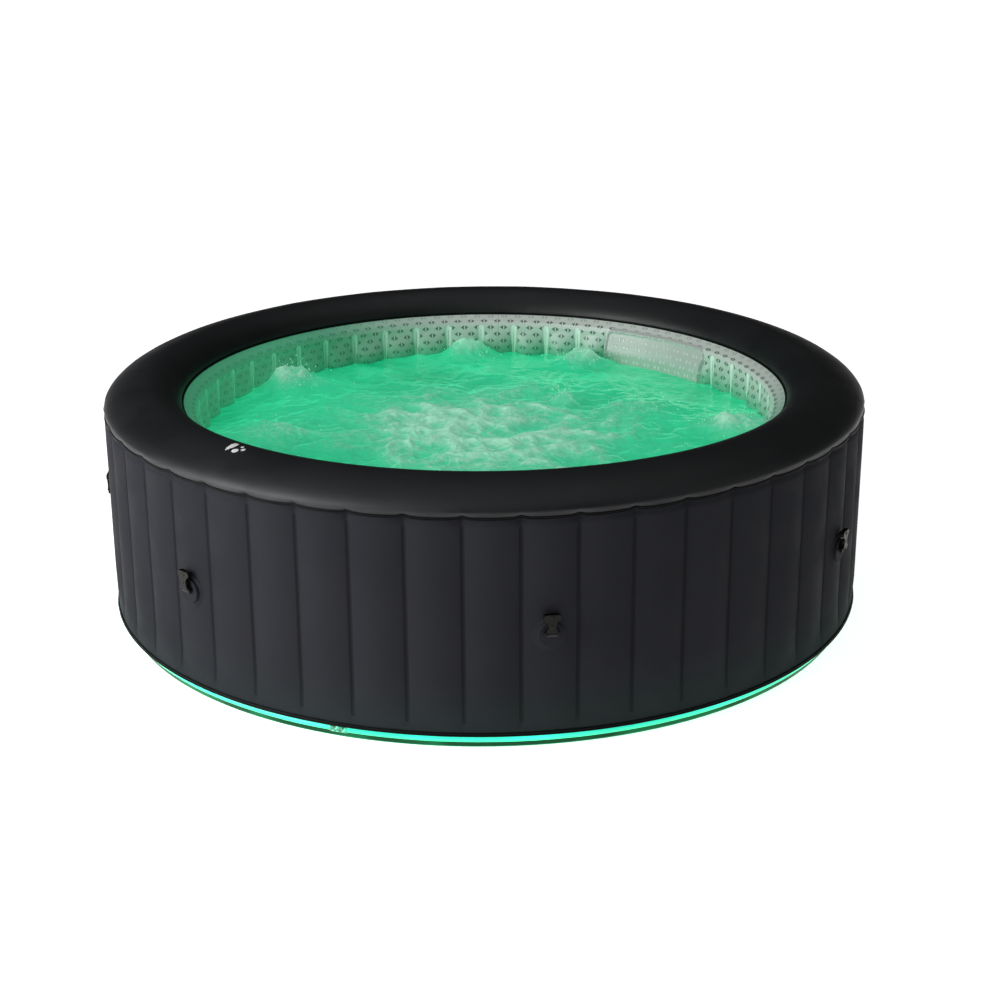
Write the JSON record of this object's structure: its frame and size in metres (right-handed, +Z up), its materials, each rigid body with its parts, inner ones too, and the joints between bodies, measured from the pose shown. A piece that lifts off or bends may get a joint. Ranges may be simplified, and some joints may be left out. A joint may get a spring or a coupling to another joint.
{
  "type": "inflatable hot tub",
  "caption": "Round inflatable hot tub with a channelled double wall, domed rim, printed liner, base light strip, lid clips, air jet ring and rear hose ports.",
  "frame": {"origin": "middle of the base on the ground", "axes": "+Z up, -Y to the front under the rim emblem, +Y to the back with the hose ports"},
  "size_m": [2.0666, 2.1246, 0.65],
  "materials": {
    "rim_pvc": "satin laminated PVC, soft sheen",
    "wall_pvc": "matte leather-grain PVC",
    "liner_pvc": "satin printed PVC",
    "seam_pvc": "matte welded PVC tape",
    "base_pvc": "matte PVC",
    "web_pvc": "matte PVC",
    "floor_foam": "matte laminated foam",
    "panel_pvc": "satin PVC",
    "white_plastic": "moulded satin",
    "filter_paper": "pleated felt",
    "rubber": "matte rubber",
    "clear_pvc": "clear glossy tube",
    "sleeve_pvc": "dark glossy PVC",
    "led": "lit light strip",
    "black_plastic": "moulded satin black",
    "lock_plastic": "moulded gloss black",
    "spring_steel": "bright drawn wire",
    "webbing": "woven webbing"
  },
  "bodies": {
    "tub": {"top_ring": "rim_pvc", "outer_wall": "wall_pvc", "inner_wall": "liner_pvc", "liner_collar": "liner_pvc", "inner_rim_seam": "seam_pvc", "top_seam_piping": "seam_pvc", "bottom_seam_band": "seam_pvc", "base_sheet": "base_pvc", "base_skirt": "base_pvc", "internal_webs": "web_pvc", "floor_pad": "floor_foam", "port_panel": "panel_pvc", "air_jet_ring": "white_plastic", "air_jet_nozzles": "white_plastic", "air_duct": "white_plastic", "air_port_sleeve": "white_plastic", "water_inlet_sleeve": "white_plastic", "water_outlet_sleeve": "white_plastic", "outlet_grille": "white_plastic", "port_gaskets": "rubber", "light_tube": "clear_pvc", "light_sleeve": "sleeve_pvc", "light_strip_core": "led", "light_joiner": "black_plastic", "light_socket": "black_plastic", "air_valve_body": "black_plastic", "drain_sleeve": "black_plastic", "air_valve_spring": "spring_steel", "clip_tabs": "webbing", "clip_patch_1": "wall_pvc", "clip_patch_2": "wall_pvc", "clip_patch_3": "wall_pvc", "clip_patch_4": "wall_pvc", "clip_patch_5": "wall_pvc", "clip_patch_6": "wall_pvc", "clip_patch_7": "wall_pvc"},
    "valve_cap": {"air_valve_cap": "black_plastic"},
    "valve_stem": {"air_valve_stem": "black_plastic"},
    "drain_cap": {"drain_outer_cap": "black_plastic"},
    "drain_plug": {"drain_inner_plug": "rubber"},
    "filter": {"filter_cartridge": "filter_paper"},
    "filter_cover": {"filter_cover": "white_plastic"},
    "clip_1": {"lid_clip_1": "black_plastic"},
    "lock_1": {"clip_lock_1": "lock_plastic"},
    "clip_2": {"lid_clip_2": "black_plastic"},
    "lock_2": {"clip_lock_2": "lock_plastic"},
    "clip_3": {"lid_clip_3": "black_plastic"},
    "lock_3": {"clip_lock_3": "lock_plastic"},
    "clip_4": {"lid_clip_4": "black_plastic"},
    "lock_4": {"clip_lock_4": "lock_plastic"},
    "clip_5": {"lid_clip_5": "black_plastic"},
    "lock_5": {"clip_lock_5": "lock_plastic"},
    "clip_6": {"lid_clip_6": "black_plastic"},
    "lock_6": {"clip_lock_6": "lock_plastic"},
    "clip_7": {"lid_clip_7": "black_plastic"},
    "lock_7": {"clip_lock_7": "lock_plastic"}
  },
  "joints": [
    {"name": "clip_1_fold", "type": "hinge", "parent": "tub", "child": "clip_1", "pos_m": [-0.06821, -1.04077, 0.299], "axis": [0.9979, -0.0654, 0], "range_deg": [0, 170]},
    {"name": "clip_1_lock_turn", "type": "hinge", "parent": "clip_1", "child": "lock_1", "pos_m": [-0.06864, -1.04725, 0.343], "axis": [-0.0654, -0.9979, 0], "range_deg": [0, 90]},
    {"name": "clip_2_fold", "type": "hinge", "parent": "tub", "child": "clip_2", "pos_m": [0.78417, -0.6877, 0.299], "axis": [0.6593, 0.7518, 0], "range_deg": [0, 170]},
    {"name": "clip_2_lock_turn", "type": "hinge", "parent": "clip_2", "child": "lock_2", "pos_m": [0.78906, -0.69198, 0.343], "axis": [0.7518, -0.6593, 0], "range_deg": [0, 90]},
    {"name": "clip_3_fold", "type": "hinge", "parent": "tub", "child": "clip_3", "pos_m": [1.02296, 0.20348, 0.299], "axis": [-0.1951, 0.9808, 0], "range_deg": [0, 170]},
    {"name": "clip_3_lock_turn", "type": "hinge", "parent": "clip_3", "child": "lock_3", "pos_m": [1.02933, 0.20475, 0.343], "axis": [0.9808, 0.1951, 0], "range_deg": [0, 90]},
    {"name": "clip_4_fold", "type": "hinge", "parent": "tub", "child": "clip_4", "pos_m": [0.46131, 0.93544, 0.299], "axis": [-0.8969, 0.4423, 0], "range_deg": [0, 170]},
    {"name": "clip_4_lock_turn", "type": "hinge", "parent": "clip_4", "child": "lock_4", "pos_m": [0.46418, 0.94127, 0.343], "axis": [0.4423, 0.8969, 0], "range_deg": [0, 90]},
    {"name": "clip_5_fold", "type": "hinge", "parent": "tub", "child": "clip_5", "pos_m": [-0.46131, 0.93544, 0.299], "axis": [-0.8969, -0.4423, 0], "range_deg": [0, 170]},
    {"name": "clip_5_lock_turn", "type": "hinge", "parent": "clip_5", "child": "lock_5", "pos_m": [-0.46418, 0.94127, 0.343], "axis": [-0.4423, 0.8969, 0], "range_deg": [0, 90]},
    {"name": "clip_6_fold", "type": "hinge", "parent": "tub", "child": "clip_6", "pos_m": [-1.02296, 0.20348, 0.299], "axis": [-0.1951, -0.9808, 0], "range_deg": [0, 170]},
    {"name": "clip_6_lock_turn", "type": "hinge", "parent": "clip_6", "child": "lock_6", "pos_m": [-1.02933, 0.20475, 0.343], "axis": [-0.9808, 0.1951, 0], "range_deg": [0, 90]},
    {"name": "clip_7_fold", "type": "hinge", "parent": "tub", "child": "clip_7", "pos_m": [-0.78417, -0.6877, 0.299], "axis": [0.6593, -0.7518, 0], "range_deg": [0, 170]},
    {"name": "clip_7_lock_turn", "type": "hinge", "parent": "clip_7", "child": "lock_7", "pos_m": [-0.78906, -0.69198, 0.343], "axis": [-0.7518, -0.6593, 0], "range_deg": [0, 90]},
    {"name": "valve_cap_pull", "type": "slide", "parent": "tub", "child": "valve_cap", "axis": [0.1951, 0.9808, 0], "range_m": [0, 0.025]},
    {"name": "valve_stem_press", "type": "slide", "parent": "tub", "child": "valve_stem", "axis": [0.1951, 0.9808, 0], "range_m": [-0.006, 0], "stiffness_N_per_m": 600},
    {"name": "drain_cap_pull", "type": "slide", "parent": "tub", "child": "drain_cap", "axis": [-0.6593, 0.7518, 0], "range_m": [0, 0.03]},
    {"name": "drain_plug_pull", "type": "slide", "parent": "tub", "child": "drain_plug", "axis": [0.6593, -0.7518, 0], "range_m": [0, 0.02]},
    {"name": "filter_pull", "type": "slide", "parent": "tub", "child": "filter", "axis": [0, -1, 0], "range_m": [0, 0.05]},
    {"name": "filter_cover_pull", "type": "slide", "parent": "filter", "child": "filter_cover", "axis": [0, -1, 0], "range_m": [0, 0.03]}
  ]
}
